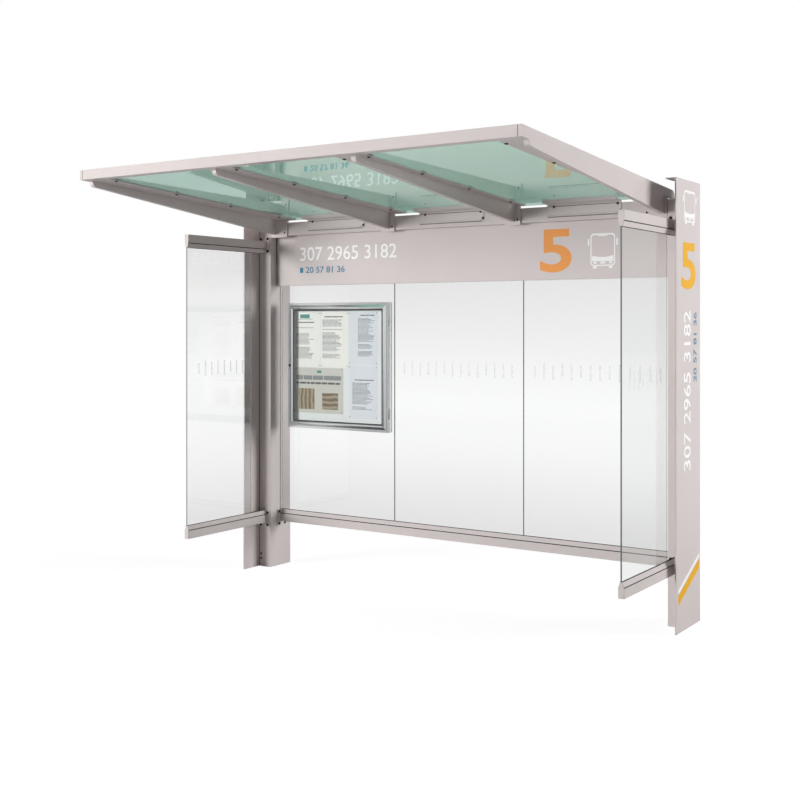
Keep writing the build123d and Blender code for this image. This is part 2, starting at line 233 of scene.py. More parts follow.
def blended(tree, output, factor, a, b):
    """Send the mix of two shaders to an output."""
    mix = node(tree, "MixShader", in_0=factor, in_1=a.outputs[0], in_2=b.outputs[0])
    feed(tree, tree.nodes[output + " Output"].inputs[0], mix.outputs[0])


def shade(value, factor):
    """A colour times a factor, its alpha kept at one."""
    return (value[0] * factor, value[1] * factor, value[2] * factor, 1)


def grain(tree, place, fine, broad):
    """Unevenness of a coated surface: a small noise for height and a large one as a mask."""
    return noise(tree, place, fine, 2.0), noise(tree, place, broad, 3.0)


def rounded_edges(tree, radius):
    """Rounded edges: the shader bevel's normal, and a mask where it leaves the true normal."""
    bevel = node(tree, "Bevel", samples=6, in_0=radius).outputs[0]
    true = node(tree, "NewGeometry").outputs["True Normal"]
    return bevel, ramp(tree, dotted(tree, bevel, true), 0.995, 0.85)


def settled_dust(tree, place, amount):
    """Dust: a mask that grows where a face looks up, broken by a noise."""
    normal = node(tree, "SeparateXYZ", in_0=node(tree, "NewGeometry").outputs["Normal"])
    up = ramp(tree, normal.outputs[2], 0.4, 0.95)
    patch = ramp(tree, noise(tree, place, 14.0, 5.0), 0.35, 0.75)
    return (worked(tree, "MULTIPLY", worked(tree, "MULTIPLY", up, patch), amount),)


VECTOR, FLOAT = "NodeSocketVector", "NodeSocketFloat"
GROUP_PLANS = {                 # what fills each group, its inputs with their defaults, and its outputs
    "surface_grain": (grain, (("Vector", VECTOR, None), ("Fine", FLOAT, 400.0), ("Broad", FLOAT, 3.0)),
                      (("Height", FLOAT), ("Mask", FLOAT))),
    "rounded_edges": (rounded_edges, (("Radius", FLOAT, 0.002),), (("Normal", VECTOR), ("Edge", FLOAT))),
    "settled_dust": (settled_dust, (("Vector", VECTOR, None), ("Amount", FLOAT, 0.3)), (("Mask", FLOAT),)),
}
GROUPS, MATERIALS = {}, {}


def shared(tree, name, **inputs):
    """Outputs of a node that holds the group of that name, which is built at its first use."""
    if name not in GROUPS:
        build, given, results = GROUP_PLANS[name]
        inside = GROUPS[name] = bpy.data.node_groups.new(name, "ShaderNodeTree")
        for label, kind, value in given:
            socket = inside.interface.new_socket(name=label, in_out="INPUT", socket_type=kind)
            if value is not None:
                socket.default_value = value
        for label, kind in results:
            inside.interface.new_socket(name=label, in_out="OUTPUT", socket_type=kind)
        start, end = inside.nodes.new("NodeGroupInput"), inside.nodes.new("NodeGroupOutput")
        for socket, value in zip(end.inputs, build(inside, *start.outputs[:len(given)])):
            feed(inside, socket, value)
    return node(tree, "Group", node_tree=GROUPS[name], **inputs).outputs


# ---- materials
def coated(tree, shader, base, rough, tone=0.93, fine=420.0, bump=0.12, dust=0.25, metal=0.0, radius=0.002,
           coat=0.0, spread=0.05, wear=0.35):
    """A coated or bare metal finish: broad tone and roughness changes, fine grain, dust and soft edges."""
    place = object_place(tree)
    height, mask = shared(tree, "surface_grain", in_0=place, in_1=fine)
    normal, edge = shared(tree, "rounded_edges", in_0=radius)
    settled = shared(tree, "settled_dust", in_0=place, in_1=dust)[0]
    toned = mixed(tree, mask, shade(base, tone), base)
    dusty = mixed(tree, settled, toned, DUST)
    worn = mixed(tree, worked(tree, "MULTIPLY", edge, wear), dusty, shade(base, 1.12))
    bumped = node(tree, "Bump", in_0=bump, in_1=0.0004, in_Height=height, in_Normal=normal)
    fill(tree, shader, Base_Color=worn, Roughness=ramp(tree, mask, 0.3, 0.7, rough - spread, rough + spread),
         Normal=bumped.outputs[0], Metallic=metal, Coat_Weight=coat, Coat_Roughness=0.25)


def matt(tree, shader, base, rough, fine, tone=0.94, bump=0.1, times=1.0):
    """A plain non-metal finish with a fine grain and a slight change of tone."""
    base = shade(base, times)
    height, mask = shared(tree, "surface_grain", in_0=object_place(tree), in_1=fine, in_2=fine / 40)
    bumped = node(tree, "Bump", in_0=bump, in_1=0.0003, in_Height=height)
    fill(tree, shader, Base_Color=mixed(tree, mask, shade(base, tone), base), Roughness=rough,
         Normal=bumped.outputs[0])


def glass(tree, shader, tone, rough, shadow):
    """Clear glass that lets lamp light through: a plain tinted pass for shadow rays."""
    fill(tree, shader, Base_Color=tone, Roughness=rough, Transmission_Weight=1.0, IOR=1.5)
    lamp_ray = node(tree, "LightPath").outputs["Is Shadow Ray"]
    blended(tree, "Material", lamp_ray, shader, node(tree, "BsdfTransparent", in_0=shadow))


def wall_glass(tree, shader, clear, ends, level=0.0, half=None):
    """Toughened glass for upright panes with a painted reflection: a shade greyer away from a level, by |z -
    level| / half.
    """
    place = object_place(tree)
    smear = noise(tree, place, 2.2, 4.0)
    tone = mixed(tree, smear, clear, shade(clear, 0.99))
    if half:
        z = node(tree, "SeparateXYZ", in_0=place).outputs[2]
        away = worked(tree, "ABSOLUTE", worked(tree, "SUBTRACT", z, level))
        # painted reflection: the pane greys away from the level
        tone = mixed(tree, ramp(tree, away, 0.03, half), tone, ends)
    glass(tree, shader, tone, ramp(tree, smear, 0.45, 0.8, 0.0, 0.03), clear)


def roof_glass(tree, shader, green, shadow):
    """Green laminated glass with faint cloudiness and a gloss coat."""
    cloud = noise(tree, object_place(tree), 1.6, 3.0)
    fill(tree, shader, Coat_Weight=0.18, Coat_Roughness=0.01)
    glass(tree, shader, mixed(tree, cloud, green, shade(green, 0.93)),
          ramp(tree, cloud, 0.3, 0.8, 0.010, 0.025), shadow)


def edge_glass(tree, shader, dark):
    """Polished glass edge, seen as a dark green-grey line."""
    bands = noise(tree, object_place(tree), 6.0, 2.0)
    fill(tree, shader, Base_Color=mixed(tree, bands, dark, shade(dark, 1.9)), Roughness=0.12)


def brushed(tree, shader, metal):
    """Anodised aluminium brushed along each stile: a noise stretched along the piece's own map."""
    place = node(tree, "UVMap", uv_map="along").outputs[0]
    stretched = node(tree, "Mapping", in_0=place, in_3=(3.0, 1600.0, 1.0)).outputs[0]
    lines = noise(tree, stretched, 1.0, 3.0)
    bumped = node(tree, "Bump", in_0=0.08, in_1=0.0002, in_Height=lines)
    fill(tree, shader, Base_Color=mixed(tree, lines, shade(metal, 0.94), shade(metal, 1.06)),
         Roughness=ramp(tree, lines, 0.2, 0.8, 0.22, 0.32), Normal=bumped.outputs[0], Metallic=1.0)


def frosted(tree, shader):
    """Frosted print: pale, slightly see-through, with a fine speckle."""
    speckle = noise(tree, object_place(tree), 900.0, 1.0)
    fill(tree, shader, Base_Color=mixed(tree, speckle, (0.72, 0.73, 0.73, 1), (0.82, 0.82, 0.82, 1)),
         Alpha=ramp(tree, speckle, 0.3, 0.7, 0.16, 0.28), Roughness=0.7)


def picture(tree, shader, axis):
    """Brown picture: bands of tone from a wave texture, upright or level."""
    dark, pale = (0.13, 0.085, 0.045, 1), (0.42, 0.34, 0.22, 1)
    bands = node(tree, "TexWave", bands_direction=axis, in_0=object_place(tree), in_1=9.0, in_2=4.0, in_3=3.0)
    fill(tree, shader, Base_Color=mixed(tree, bands.outputs[1], dark, pale), Roughness=0.6)


PAPER = dict(rough=0.85, fine=900.0, tone=0.965)
INK = dict(rough=0.7, fine=600.0, tone=0.9)
FILM = dict(rough=0.35, fine=200.0, tone=0.95, bump=0.03)
PANE = "clear_glass glass_ends"
FINISHES = {                    # what builds each finish, its colour settings, its slot, and its values
    "frame_paint": (coated, "paint", "frame_paint", dict(rough=0.46, coat=0.5)),
    "plain_steel": (coated, "steel", "plain_steel",
                    dict(rough=0.38, tone=0.85, metal=1.0, fine=250.0, radius=0.0008)),
    "dark_fixing": (coated, "dark_fixing", "dark_fixings",
                    dict(rough=0.42, metal=0.4, dust=0.1, radius=0.0004)),
    "case_metal": (coated, "aluminium", "case_aluminium",
                   dict(rough=0.30, metal=1.0, fine=300.0, bump=0.05, radius=0.001)),
    "case_aluminium": (brushed, "aluminium", "case_aluminium", {}),
    "clear_glass": (wall_glass, PANE, "clear_glass", {}),
    # the back and side panes carry the painted reflection, greyer away from their level
    "back_panes": (wall_glass, PANE, "clear_glass", dict(level=1.155, half=0.78)),
    "side_pane": (wall_glass, PANE, "clear_glass", dict(level=1.27, half=0.90)),
    "roof_glass": (roof_glass, "roof_glass roof_shade", "roof_glass", {}),
    "glass_edge": (edge_glass, "glass_edge", "clear_glass", {}),
    "glass_print": (frosted, "", "glass_print", {}),
    "case_board": (matt, "board", "case_board", dict(rough=0.6, fine=500.0)),
    # real rubber for gaskets and seals, and painted shade for the dark lines and keyway
    "rubber": (matt, "rubber", "rubber_seal", dict(rough=0.65, fine=700.0, tone=0.7)),
    "silicone": (matt, "silicone", "pane_joint", dict(rough=0.4, fine=300.0)),
    "warm_paper": (matt, "warm_paper", "paper", PAPER),
    "cool_paper": (matt, "cool_paper", "paper", PAPER),
    "poster_paper": (matt, "poster_paper", "paper", {**PAPER, "tone": 0.95}),
    "teal_ink": (matt, "teal_ink", "notice_print", INK),
    "grey_ink": (matt, "ink", "notice_print", {**INK, "times": 2.6}),
    "ink": (matt, "ink", "notice_print", {**INK, "tone": 0.85}),
    "picture_upright": (picture, "", "notice_print", dict(axis="X")),
    "picture_level": (picture, "", "notice_print", dict(axis="Z")),
    "white_film": (matt, "white_film", "white_film", {**FILM, "tone": 0.98}),
    **{name: (matt, name, name, FILM) for name in ("orange_film", "yellow_film", "blue_film")},
}


def blank(name):
    """A new material with a Principled shader on its output: (material, tree, shader)."""
    material = bpy.data.materials.new(name)
    material.use_nodes = True
    tree = material.node_tree
    return material, tree, tree.nodes["Principled BSDF"]


def finish(name):
    """The material of that name, built from the colour settings at its first use."""
    if name not in MATERIALS:
        build, labels, _, values = FINISHES[name]
        MATERIALS[name], tree, shader = blank(name)
        colours = bpy.context.scene.shelter_colours
        build(tree, shader, *(getattr(colours, label) for label in labels.split()), **values)
    return MATERIALS[name]


# ---- meshes
def grid(rows, columns, close_rows=False, close_columns=False):
    """Faces of a grid of rows by columns points; a closed direction joins its last line to its first."""
    r = np.arange(rows if close_rows else rows - 1)[:, None]
    c = np.arange(columns if close_columns else columns - 1)[None, :]
    r1, c1 = (r + 1) % rows, (c + 1) % columns
    faces = [r * columns + c, r * columns + c1, r1 * columns + c1, r1 * columns + c]
    return np.stack(np.broadcast_arrays(*faces), -1).reshape(-1, 4)


def facing(normal, side=None):
    """Frame whose third column is the outward normal and whose second is as near to up as can be."""
    n = np.asarray(normal, float) / np.linalg.norm(normal)
    hint = np.array(side if side is not None else ((0, 0, 1) if abs(n[2]) < 0.9 else (0, 1, 0)), float)
    up = hint - n * (hint @ n)
    up = up / np.linalg.norm(up)
    return np.stack([np.cross(up, n), up, n], 1)


def joined(parts):
    """Several (points, faces) shapes as one."""
    points, faces, count = [], [], 0
    for some, quads in parts:
        points.append(np.asarray(some, float))
        faces += [[i + count for i in face] for face in quads]
        count += len(some)
    return np.concatenate(points), faces


def outward(shape):
    """The same closed shape with its faces turned outwards, by the sign of its volume."""
    points, faces = shape
    volume = 0.0
    for face in faces:
        for i, j in zip(face[1:], face[2:]):
            volume += np.dot(points[face[0]], np.cross(points[i], points[j]))
    return points, [face[::-1] for face in faces] if volume < 0 else faces


def piece(name, shape, material, body=SHELTER, smooth=35.0, replaces=(), uv=None, bevel=0.0):
    """A mesh object from (points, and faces) that rides on a body and takes a finish."""
    points, faces = shape
    mesh = bpy.data.meshes.new(name)
    mesh.from_pydata(np.asarray(points).tolist(), [], [list(map(int, f)) for f in faces])
    mesh.validate()
    if uv is not None:
        layer = mesh.uv_layers.new(name="along")
        index = np.zeros(len(mesh.loops), int)
        mesh.loops.foreach_get("vertex_index", index)
        layer.data.foreach_set("uv", np.asarray(uv, float)[index].ravel())
    mesh.shade_smooth()
    mesh.set_sharp_from_angle(angle=math.radians(smooth))
    mesh.materials.append(finish(material))
    made = bpy.data.objects.new(name, mesh)
    bpy.context.scene.collection.objects.link(made)
    if bevel:
        rounding = made.modifiers.new("rounding", "BEVEL")
        rounding.width, rounding.segments, rounding.limit_method = bevel, 2, "ANGLE"
    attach(made, body)
    if replaces:
        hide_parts(*replaces)
    return made


def heads(name, shape, normal, places, material="dark_fixing", body=SHELTER):
    """A piece made of copies of a turned shape, all with one outward normal."""
    points = shape[0] @ facing(normal).T
    copies = [(points + place, shape[1]) for place in np.asarray(places, float)]
    return piece(name, joined(copies), material, body)


def lathe(profile, sides=20, six=(), ring=False):
    """Closed turned shape about +Z from (radius, height) rings, lowest first, or a ring closed both ways.

    A point of ring k at angle a is (radius cos a, radius sin a, height); in the rings named by six the
    radius is that of a hexagon, the half width over the cosine of the angle to the nearest flat."""
    profile = np.asarray(profile, float)
    a = np.arange(sides) * 2 * np.pi / sides
    to_flat = (a + np.pi / 6) % (np.pi / 3) - np.pi / 6
    radius = np.repeat(profile[:, :1], sides, 1)
    for k in six:
        radius[k] = radius[k] / np.cos(to_flat)
    height = np.repeat(profile[:, 1:], sides, 1)
    points = np.stack([radius * np.cos(a), radius * np.sin(a), height], -1).reshape(-1, 3)
    faces = grid(len(profile), sides, close_rows=ring, close_columns=True).tolist()
    if ring:
        return outward((points, faces))
    ends = list(range(sides))[::-1], list(range((len(profile) - 1) * sides, len(profile) * sides))
    return points, [*faces, *ends]


def screw_head(radius, sides=18):
    """Domed head: a quarter of an ellipse from the rim up to a flat, then a six-sided socket."""
    t = np.linspace(0, 1, 5) * np.pi / 2
    flat, height, socket = 0.52 * radius, 0.5 * radius, 0.38 * radius
    dome = np.stack([flat + (radius - flat) * np.cos(t), height * (0.18 + 0.82 * np.sin(t))], 1)
    profile = np.concatenate([[[radius, 0.0]], dome, [[socket, height], [socket, 0.35 * height]]])
    return lathe(profile, sides, six=(len(profile) - 2, len(profile) - 1))


def box_shape(one, other):
    """Closed box between two opposite corners."""
    low, high = np.minimum(one, other), np.maximum(one, other)
    bits = np.array([[0, 0, 0], [1, 0, 0], [1, 1, 0], [0, 1, 0], [0, 0, 1], [1, 0, 1], [1, 1, 1], [0, 1, 1]])
    return low + bits * (high - low), [[0, 3, 2, 1], [4, 5, 6, 7], [0, 1, 5, 4], [1, 2, 6, 5], [2, 3, 7, 6],
                                       [3, 0, 4, 7]]


def bar(profile, start, end, side, up=(0, 0, 1)):
    """Profile of (side, up) points carried straight from start to end, closed at both ends."""
    profile = np.asarray(profile, float)
    spread = profile[:, :1] * np.asarray(side, float) + profile[:, 1:] * np.asarray(up, float)
    points = np.concatenate([np.asarray(start) + spread, np.asarray(end) + spread])
    n = len(profile)
    faces = grid(2, n, close_columns=True).tolist()
    return outward((points, [*faces, list(range(n))[::-1], list(range(n, 2 * n))]))


def rounded_box(width, height, radius, centre=(0, 0), steps=6):
    """Outline of a rectangle with rounded corners, as quarter circles about four corner centres."""
    t = np.linspace(0, np.pi / 2, steps)
    parts = []
    for k, (sx, sy) in enumerate(((1, 1), (-1, 1), (-1, -1), (1, -1))):
        a = t + k * np.pi / 2
        middle = np.array([sx * (width / 2 - radius), sy * (height / 2 - radius)])
        parts.append(middle + radius * np.stack([np.cos(a), np.sin(a)], 1))
    return np.concatenate(parts) + np.asarray(centre)


def one_face(outline):
    """A flat shape with a single face."""
    return outline, [list(range(len(outline)))]


def film(shape, turn, place, thickness=0.0002):
    """A flat shape turned and moved onto a surface, and closed as a thin film."""
    flat, faces = shape
    n = len(flat)
    edges = dict.fromkeys(pair for face in faces for pair in zip(face, face[1:] + face[:1]))
    points = np.concatenate([np.c_[flat, np.zeros(n)], np.c_[flat, np.full(n, thickness)]])
    made = [face[::-1] for face in faces] + [[i + n for i in face] for face in faces]
    made += [[a, b, b + n, a + n] for a, b in edges if (b, a) not in edges]
    return points @ np.asarray(turn).T + np.asarray(place), made


def numerals(text, width, height, bold=0.0):
    """Plain digits as a flat mesh of that width and height: feet on zero, left edge on zero."""
    curve = bpy.data.curves.new("digits", "FONT")
    curve.body, curve.offset, curve.resolution_u = text, bold, 6
    holder = bpy.data.objects.new("digits", curve)
    bpy.context.scene.collection.objects.link(holder)
    bpy.context.view_layer.update()
    mesh = bpy.data.meshes.new_from_object(holder.evaluated_get(bpy.context.evaluated_depsgraph_get()))
    points = np.zeros(len(mesh.vertices) * 3)
    mesh.vertices.foreach_get("co", points)
    points = points.reshape(-1, 3)
    faces = [list(p.vertices) for p in mesh.polygons]
    bpy.data.objects.remove(holder)
    bpy.data.curves.remove(curve)
    bpy.data.meshes.remove(mesh)
    points = points - points.min(0)
    return points[:, :2] * (width, height) / points[:, :2].max(0), faces


def bus_pictogram(width, height):
    """Front view of a bus about its lower middle, as one flat shape.

    The body is a ring between two rounded rectangles. Inside it stand a skirt whose upper edge
    sags as (2x/width)^2 and, below it, blocks with gaps for the lamps; wheels and mirrors lie outside."""
    w, h = width, height
    body, foot, line = 0.80 * w, 0.07 * h, 0.035 * w
    middle = foot + 0.465 * h
    outer = rounded_box(body, 0.93 * h, 0.10 * h, (0, middle))
    inner = rounded_box(body - 2 * line, 0.93 * h - 2.6 * line, 0.08 * h, (0, middle - 0.3 * line))
    x = np.linspace(-0.5, 0.5, 13) * (body - 3 * line)
    top = np.stack([x, foot + 0.30 * h - 0.045 * h * (1 - (x / x[-1]) ** 2)], 1)
    low = np.stack([x, np.full(13, foot + 0.135 * h)], 1)
    shapes = [(np.concatenate([outer, inner]), grid(2, len(outer), close_columns=True).tolist()),
              (np.concatenate([low, top]), grid(2, 13).tolist())]
    blocks = [(0.16 * w, 0.055 * h, 0.008 * h, (0, foot + 0.095 * h), 3),
              (0.30 * w, 0.026 * h, 0.010 * h, (0, foot + 0.86 * h), 3)]
    for out in SIDES.values():
        blocks += [(0.10 * w, 0.055 * h, 0.008 * h, (out * 0.255 * w, foot + 0.095 * h), 3),
                   (0.12 * w, 0.062 * h, 0.02 * h, (out * 0.26 * w, 0.032 * h), 4),
                   (0.055 * w, 0.20 * h, 0.025 * w, (out * 0.465 * w, foot + 0.68 * h), 4)]
    shapes += [one_face(rounded_box(*block)) for block in blocks]
    return joined(shapes)


# ---- places read from the frame
LEFT_LOW, LEFT_HIGH = corners("post_tube_left")
MIDDLE = (LEFT_LOW[0] + side_x("post_tube_right", 1)) / 2
AIM = np.array([MIDDLE, -0.6, 1.2])     # where the lamps look
FRONT = LEFT_LOW[1]
SIGN_LOW, SIGN_HIGH = corners("header_sign_panel")
BEAM_LOW, BEAM_HIGH = corners("header_beam")
GLASS_LOW, GLASS_HIGH = corners("roof_glass_centre")
CASE_LOW, CASE_HIGH = corners("case_door_frame")
TRAY_LOW, TRAY_HIGH = corners("case_tray")


def roof_fall():
    """Slope of the roof glass, from the heights of one pane's front and back edges."""
    thickness = bpy.context.scene.shelter_sizes.roof_pane
    return (GLASS_HIGH[2] - GLASS_LOW[2] - thickness) / (GLASS_HIGH[1] - GLASS_LOW[1])


def roof_top(y):
    """Height of the roof glass's upper face at depth y."""
    return GLASS_HIGH[2] - roof_fall() * (y - GLASS_LOW[1])


# ---- operators
NODE_FINISHES = (
    ("foot_plate", "plain_steel"), ("back_glass", "back_panes"), ("side_glass_left", "side_pane"),
    ("side_glass_right", "clear_glass"), ("roof_glass", "roof_glass"), ("case_tray", "case_metal"),
    ("case_board", "case_board"), ("case_notices", "warm_paper"), ("case_door_glass", "clear_glass"),
    ("case_door_frame", "case_metal"), ("case_hinges", "case_metal"), ("case_door_knuckles", "case_metal"),
    ("case_lock", "dark_fixing"))


class SHELTER_OT_finishes(bpy.types.Operator):
    """Give every piece of the construction its finish"""
    bl_idname = "shelter.finishes"
    bl_label = "Finishes"

    def execute(self, context):
        """Each node takes the finish that the start of its name asks for, or else the frame's paint."""
        for name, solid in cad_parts.items():
            found = [material for start, material in NODE_FINISHES if name.startswith(start)]
            solid.data.materials.clear()
            solid.data.materials.append(finish(found[0] if found else "frame_paint"))
            if "_glass" in name:
                self.edges(solid)
        return {"FINISHED"}

    def edges(self, solid):
        """Give a pane's narrow edge faces the edge finish: those not facing along its thinnest direction."""
        low, high = corners(solid.name)
        mesh = solid.data
        normals = np.zeros(len(mesh.polygons) * 3)
        mesh.polygons.foreach_get("normal", normals)
        flat = 2 if solid.name.startswith("roof") else int(np.argmin(high - low))
        mesh.materials.append(finish("glass_edge"))
        mesh.polygons.foreach_set("material_index", (np.abs(normals[flat::3]) < 0.7).astype(int))


class SHELTER_OT_screws(bpy.types.Operator):
    """Add the screws of the posts, plates, header, brackets and roof"""
    bl_idname = "shelter.screws"
    bl_label = "Screws"

    def execute(self, context):
        """Each side's screws and painted shade lines, then those of the rear brackets."""
        s = context.scene.shelter_sizes
        big, small = screw_head(s.screw_radius), screw_head(s.small_screw_radius, 14)
        inset, front, foot_heights = s.plate_inset, (0, -1, 0), (0.054, 0.086)
        header_edge, header_rise = 0.091, 0.017
        for side, out in SIDES.items():
            low, high = corners("side_rail_plates_" + side)
            x, plate = (low[0] + inset, high[0] - inset), s.plate_height
            z = (low[2] + inset, low[2] + plate - inset, high[2] - plate + inset, high[2] - inset)
            heads(f"rail_plate_screws_{side}", big, front, [(a, low[1], b) for a in x for b in z])
            foot_x = side_x("post_tube_" + side, out) - out * s.foot_screw_inset
            heads(f"foot_screws_{side}", small, front, [(foot_x, FRONT, z) for z in foot_heights])
            low, high = corners("back_rail_plates")
            face = side_x("back_rail_plates", out) - out * PLATE
            spots = [(face, y, z) for y in (low[1] + inset, high[1] - inset)
                     for z in (low[2] + inset, high[2] - inset)]
            heads(f"back_rail_screws_{side}", big, (-out, 0, 0), spots)
            self.beam_screws(s, side, out, big)
            spot = (side_x("header_beam", out) - out * header_edge, BEAM_LOW[1], BEAM_LOW[2] + header_rise)
            heads(f"header_screws_{side}", small, front, [spot])
            self.joint_lines(side, out)
        for bay in BAYS:
            low, high = corners("rear_bracket_" + bay)
            leg, upper, lower = BEAM_LOW[1] - BRACKET_LEG, low[2] + 0.057, low[2] + 0.017
            spots = [(low[0] + 0.042, leg, upper), (high[0] - 0.022, leg, upper),
                     (high[0] - 0.006, leg, lower)]
            heads(f"bracket_screws_{bay}", small, front, spots)
            self.hems(bay, low, high, leg)
        return {"FINISHED"}

    def joint_lines(self, side, out):
        """Dark lines of painted shadow where the sign panel meets a post, and between a post and its blade's
        front.
        """
        post, blade = side_x("post_tube_" + side, -out), side_x("blade_" + side, out) - out * PLATE
        near, far, step = SIGN_LOW[1] - SHADE_LINE_PROUD, SIGN_LOW[1] + 0.004, SIGN_LOW[2] + 0.15
        edge, half = post - out * 0.008, post - out * 0.004     # the line is 8 mm wide over its step, 4 below
        # painted shadow: dark strips in the gaps beside the sign panel and the blade
        shapes = [box_shape((post, near, step), (edge, far, SIGN_HIGH[2])),
                  box_shape((edge, near, SIGN_LOW[2] + 0.02), (half, far, step)),
                  box_shape((blade, FRONT - SHADE_LINE_PROUD, 0.002),
                            (blade - out * 0.003, FRONT + 0.002, LEFT_HIGH[2]))]
        piece(f"joint_lines_{side}", joined(shapes), "rubber")

    def hems(self, bay, low, high, leg):
        """Rolled foot of a rear bracket's leg with its painted shadow gap, and a painted shadow line under
        the shelf.

        The roll is half round: out = radius sin a, up = -radius cos a, for a from 0 to a half turn."""
        radius, a = 0.0055, np.linspace(0, np.pi, 7)
        half_round = radius * np.stack([np.sin(a), -np.cos(a)], 1)
        roll = np.concatenate([[[0.0, radius], [0.0, -radius]], half_round])
        shadow_strip = [[0.0, -0.0016], [0.0005, -0.0016], [0.0008, 0.0], [0.0005, 0.0016], [0.0, 0.0016]]

        def run(profile, y, z):
            """A profile carried along the bracket."""
            return bar(profile, (low[0], y, z), (high[0] - 0.014, y, z), (0, -1, 0))

        piece(f"bracket_hem_{bay}", run(roll, leg, low[2] + radius), "frame_paint")
        # painted shadow: dark strips under the roll and under the shelf
        lines = [run(shadow_strip, BEAM_LOW[1], low[2] - 0.0020), run(shadow_strip, leg, BEAM_HIGH[2] - 0.0015)]
        piece(f"bracket_lines_{bay}", joined(lines), "rubber")

    def beam_screws(self, s, side, out, big):
        """Screws under the flanges of one side's two beams, discs above them, and the end plates' screws."""
        half_web, wide_flange, end_plate = 0.014, 0.096, 0.010
        from_wide, from_narrow = 0.086, 0.034        # screws from the web on the flange's two sides
        slope = roof_fall()
        down = np.array([0, -slope, -1]) / math.hypot(1, slope)
        web = side_x("roof_inner_beam_" + side, -out) + out * (half_web + wide_flange)
        lines = (web - out * (half_web + from_wide), web + out * (half_web + from_narrow),
                 side_x("roof_edge_beam_" + side, -out) + out * 0.010)
        y = GLASS_LOW[1] + s.roof_screw_first + s.roof_screw_pitch * np.arange(4)
        tops = np.array([(x, b, roof_top(b)) for x in lines for b in y])
        heads(f"flange_screws_{side}", big, down, tops - (0, 0, s.roof_pane + s.flange))
        t = np.linspace(0, 1, 4) * np.pi / 2
        dome = np.stack([s.disc_radius * (1 - 0.35 * (1 - np.cos(t))), 0.0015 + 0.0035 * np.sin(t) ** 0.7], 1)
        disc = lathe(np.concatenate([[[s.disc_radius, 0]], dome, [[0.3 * s.disc_radius, 0.0052]]]), 24)
        heads(f"roof_discs_{side}", disc, -down, tops, "plain_steel")
        edge_plate = side_x("roof_rim_" + side, -out) - out * (PLATE + 0.098)
        z = corners("roof_edge_beam_" + side)[0][2] + 0.031
        spots = [(x, BEAM_LOW[1] - end_plate, z) for x in (web + 0.034, edge_plate + out * 0.022)]
        heads(f"end_plate_screws_{side}", screw_head(s.small_screw_radius * 0.8, 14), (0, -1, 0), spots)


class SHELTER_OT_rails(bpy.types.Operator):
    """Add the rails' end caps, gaskets and shoulder lines of painted shadow"""
    bl_idname = "shelter.rails"
    bl_label = "Rail trims"

    def execute(self, context):
        """The side rails run along Y and the back rail along X; turn is -1 on a rail that hangs."""
        s = context.scene.shelter_sizes
        for side in SIDES:
            x = (side_x("post_tube_" + side, -1) + side_x("post_tube_" + side, 1)) / 2
            for level, turn in (("bottom", 1), ("top", -1)):
                low, high = corners(f"side_{level}_rail_{side}")
                base, ridge = (low[2], high[2])[::turn]
                name = f"side_{level}_rail_{side}"
                self.trims(s, name, (x, low[1]), (x, high[1]), base, ridge, turn, (1, 0, 0))
                shoulder, top = s.rail_shoulder, s.rail_ridge / 2
                outline = [(-RAIL_HALF, 0), (RAIL_HALF, 0), (RAIL_HALF, shoulder), (top, RAIL_TOP),
                           (-top, RAIL_TOP), (-RAIL_HALF, shoulder)]
                cap = bar(outline, (x, low[1], base), (x, low[1] - s.cap, base), (1, 0, 0), (0, 0, turn))
                piece(f"rail_cap_{level}_{side}", cap, "frame_paint", bevel=0.0012)
        low, high = corners("back_bottom_rail")
        y = (low[1] + high[1]) / 2
        self.trims(s, "back_bottom_rail", (low[0], y), (high[0], y), low[2], high[2], 1, (0, 1, 0))
        return {"FINISHED"}

    def trims(self, s, name, start, end, base, ridge, turn, across):
        """Gasket beads at the glass and painted shadow lines at the shoulders, on both sides of one rail.

        A bead is a quarter round: side = 1.05 radius cos a, up = radius sin a."""
        r, half, up = s.gasket, s.shoulder_shadow_width / 2, (0, 0, turn)
        a = np.linspace(0, np.pi / 2, 5)[1:]
        foot = [[0, -0.008], [0.0007, -0.008], [0.0007, -0.0004], [r * 1.05, -0.0002]]
        lip = np.concatenate([foot, np.stack([r * 1.05 * np.cos(a), r * np.sin(a)], 1)])
        flat = [[-0.0003, -half], [0.0003, -half], [0.0005, 0], [0.0003, half], [-0.0003, half]]
        beads, lines = [], []
        for out in SIDES.values():
            side = np.array(across, float) * out
            for shapes, profile, reach, z in ((beads, lip, PANE_HALF + 0.0002, ridge),
                                              (lines, flat, RAIL_HALF, base + turn * s.rail_shoulder)):
                shift = side * reach + (0, 0, z)
                shapes.append(bar(profile, (*start, 0) + shift, (*end, 0) + shift, side, up))
        piece(f"{name}_gaskets", joined(beads), "rubber")
        # the shoulder lines are painted shadow
        piece(f"{name}_lines", joined(lines), "rubber")


